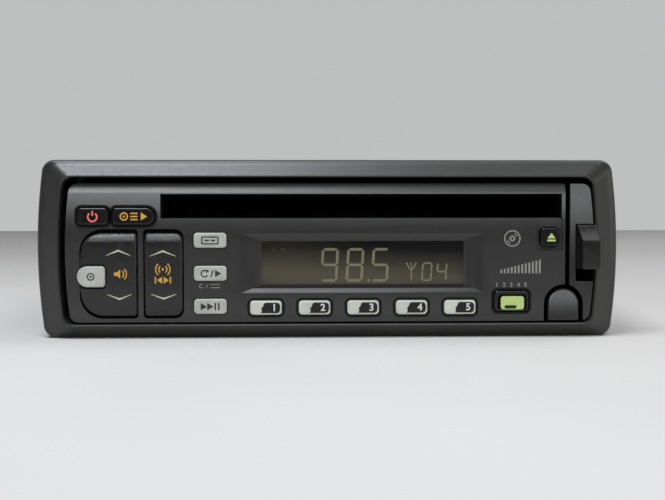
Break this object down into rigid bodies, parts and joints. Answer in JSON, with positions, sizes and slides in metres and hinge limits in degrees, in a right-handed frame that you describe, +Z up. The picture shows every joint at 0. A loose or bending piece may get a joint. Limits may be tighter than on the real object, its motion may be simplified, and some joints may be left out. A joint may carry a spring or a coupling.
{
  "type": "car cd player",
  "caption": "Single-slot car CD receiver: a swing-out face with keys, rockers and a display in a trim bezel, and a slot-loading disc drive in a sheet-steel chassis.",
  "frame": {"origin": "middle of the bounding box's bottom face", "axes": "+X to the right of the front as the user sees it, -Y out of the front, +Z up"},
  "size_m": [0.1894, 0.1806, 0.0579],
  "materials": {
    "trim": "satin, fine grain",
    "face": "satin, fine grain",
    "black_key": "semi-gloss",
    "grey_key": "satin",
    "pale_key": "satin, translucent look",
    "lime_key": "lit window",
    "lens": "smoked, glossy",
    "black_plastic": "matt",
    "zinc_sheet": "zinc plated sheet",
    "steel": "bright",
    "alloy": "extruded",
    "board": "solder mask",
    "ivory": "moulded",
    "rubber": "matt",
    "plated": "plated",
    "fuse_red": "moulded"
  },
  "bodies": {
    "chassis": {"chassis_tray": "zinc_sheet", "top_cover": "zinc_sheet", "cover_screws": "steel", "front_carrier": "black_plastic", "bezel": "trim", "side_strip": "trim", "corner_tab": "trim", "carrier_connector": "ivory", "main_pcb": "board", "tuner_can": "zinc_sheet", "capacitors": "black_plastic", "power_amp": "black_plastic", "heat_sink": "alloy", "rear_connector": "black_plastic", "antenna_socket": "steel", "line_out_jacks": "plated", "fuse": "fuse_red", "rear_stud": "steel", "mech_posts": "zinc_sheet", "mech_dampers": "rubber", "mech_frame": "zinc_sheet", "mech_top_plate": "zinc_sheet", "spindle_motor": "steel", "guide_rods": "steel", "sled_motor": "steel", "load_motor": "steel"},
    "face": {"face_shell": "face", "face_rear_cover": "black_plastic", "face_pcb": "board", "tact_switches": "black_plastic", "display_lens": "lens", "display_module": "black_plastic", "face_connector": "ivory"},
    "roller_arm": {"roller_arm": "zinc_sheet", "drive_belt": "rubber"},
    "power_key": {"power_key": "black_key"},
    "mode_key": {"mode_key": "black_key"},
    "select_key": {"select_key": "grey_key"},
    "scan_key": {"scan_key": "grey_key"},
    "repeat_key": {"repeat_key": "grey_key"},
    "display_key": {"display_key": "grey_key"},
    "preset_1_key": {"preset_1_key": "pale_key"},
    "preset_2_key": {"preset_2_key": "pale_key"},
    "preset_3_key": {"preset_3_key": "pale_key"},
    "preset_4_key": {"preset_4_key": "pale_key"},
    "preset_5_key": {"preset_5_key": "pale_key"},
    "auto_preset_key": {"auto_preset_key": "lime_key"},
    "eject_key": {"eject_key": "black_key"},
    "volume_rocker": {"volume_rocker": "black_key"},
    "tune_rocker": {"tune_rocker": "black_key"},
    "release_lever": {"release_lever": "black_key"},
    "turntable": {"turntable": "black_plastic"},
    "pickup_sled": {"pickup_sled": "black_plastic"},
    "lead_screw": {"lead_screw": "steel"},
    "sled_pinion": {"sled_pinion": "ivory"},
    "feed_roller": {"feed_roller": "rubber"},
    "drive_pulley": {"drive_pulley": "ivory"},
    "clamp_arm": {"clamp_arm": "zinc_sheet"},
    "clamper_puck": {"clamper_puck": "black_plastic"}
  },
  "joints": [
    {"name": "face_swing", "type": "hinge", "parent": "chassis", "child": "face", "pos_m": [-0.0805, -0.08275, 0.0288], "axis": [0, 0, -1], "range_deg": [0, 20]},
    {"name": "release_slide", "type": "slide", "parent": "chassis", "child": "release_lever", "axis": [0, 0, -1], "range_m": [0, 0.0038], "stiffness_N_per_m": 300},
    {"name": "power_press", "type": "slide", "parent": "face", "child": "power_key", "axis": [0, 1, 0], "range_m": [0, 0.0008], "stiffness_N_per_m": 800},
    {"name": "mode_press", "type": "slide", "parent": "face", "child": "mode_key", "axis": [0, 1, 0], "range_m": [0, 0.0008], "stiffness_N_per_m": 800},
    {"name": "select_press", "type": "slide", "parent": "face", "child": "select_key", "axis": [0, 1, 0], "range_m": [0, 0.0008], "stiffness_N_per_m": 800},
    {"name": "scan_press", "type": "slide", "parent": "face", "child": "scan_key", "axis": [0, 1, 0], "range_m": [0, 0.0008], "stiffness_N_per_m": 800},
    {"name": "repeat_press", "type": "slide", "parent": "face", "child": "repeat_key", "axis": [0, 1, 0], "range_m": [0, 0.0008], "stiffness_N_per_m": 800},
    {"name": "display_press", "type": "slide", "parent": "face", "child": "display_key", "axis": [0, 1, 0], "range_m": [0, 0.0008], "stiffness_N_per_m": 800},
    {"name": "preset_1_press", "type": "slide", "parent": "face", "child": "preset_1_key", "axis": [0, 1, 0], "range_m": [0, 0.0008], "stiffness_N_per_m": 800},
    {"name": "preset_2_press", "type": "slide", "parent": "face", "child": "preset_2_key", "axis": [0, 1, 0], "range_m": [0, 0.0008], "stiffness_N_per_m": 800},
    {"name": "preset_3_press", "type": "slide", "parent": "face", "child": "preset_3_key", "axis": [0, 1, 0], "range_m": [0, 0.0008], "stiffness_N_per_m": 800},
    {"name": "preset_4_press", "type": "slide", "parent": "face", "child": "preset_4_key", "axis": [0, 1, 0], "range_m": [0, 0.0008], "stiffness_N_per_m": 800},
    {"name": "preset_5_press", "type": "slide", "parent": "face", "child": "preset_5_key", "axis": [0, 1, 0], "range_m": [0, 0.0008], "stiffness_N_per_m": 800},
    {"name": "auto_preset_press", "type": "slide", "parent": "face", "child": "auto_preset_key", "axis": [0, 1, 0], "range_m": [0, 0.0008], "stiffness_N_per_m": 800},
    {"name": "eject_press", "type": "slide", "parent": "face", "child": "eject_key", "axis": [0, 1, 0], "range_m": [0, 0.0008], "stiffness_N_per_m": 800},
    {"name": "volume_rock", "type": "hinge", "parent": "face", "child": "volume_rocker", "pos_m": [0, -0.08375, 0.0211], "axis": [1, 0, 0], "range_deg": [-3, 3], "stiffness_Nm_per_rad": 0.05},
    {"name": "tune_rock", "type": "hinge", "parent": "face", "child": "tune_rocker", "pos_m": [0, -0.08375, 0.0211], "axis": [1, 0, 0], "range_deg": [-3, 3], "stiffness_Nm_per_rad": 0.05},
    {"name": "turntable_spin", "type": "hinge", "parent": "chassis", "child": "turntable", "pos_m": [0.01065, 0.00225, 0.0378], "axis": [0, 0, 1], "continuous": true},
    {"name": "clamp_swing", "type": "hinge", "parent": "chassis", "child": "clamp_arm", "pos_m": [0.01065, 0.05825, 0.04785], "axis": [1, 0, 0], "range_deg": [0, 4.4]},
    {"name": "puck_spin", "type": "hinge", "parent": "clamp_arm", "child": "clamper_puck", "pos_m": [0.01065, 0.00225, 0.0468], "axis": [0, 0, 1], "continuous": true},
    {"name": "roller_lift", "type": "hinge", "parent": "chassis", "child": "roller_arm", "pos_m": [0.01065, -0.03575, 0.03175], "axis": [-1, 0, 0], "range_deg": [0, 7]},
    {"name": "pulley_spin", "type": "hinge", "parent": "chassis", "child": "drive_pulley", "pos_m": [-0.046, -0.03575, 0.03175], "axis": [1, 0, 0], "continuous": true},
    {"name": "roller_spin", "type": "hinge", "parent": "roller_arm", "child": "feed_roller", "pos_m": [0.01065, -0.05375, 0.03595], "axis": [1, 0, 0], "continuous": true},
    {"name": "sled_slide", "type": "slide", "parent": "chassis", "child": "pickup_sled", "axis": [-1, 0, 0], "range_m": [0, 0.032]},
    {"name": "screw_spin", "type": "hinge", "parent": "chassis", "child": "lead_screw", "pos_m": [-0.02, 0.02325, 0.03155], "axis": [1, 0, 0], "continuous": true},
    {"name": "pinion_spin", "type": "hinge", "parent": "chassis", "child": "sled_pinion", "pos_m": [0.003, 0.0309, 0.03155], "axis": [1, 0, 0], "continuous": true}
  ],
  "couplings": [
    {"joint": "puck_spin", "follows": "turntable_spin", "ratio": 1},
    {"joint": "pulley_spin", "follows": "roller_spin", "ratio": 1},
    {"joint": "screw_spin", "follows": "sled_slide", "rad_per_m": 2094.4},
    {"joint": "pinion_spin", "follows": "sled_slide", "rad_per_m": -4188.8}
  ]
}
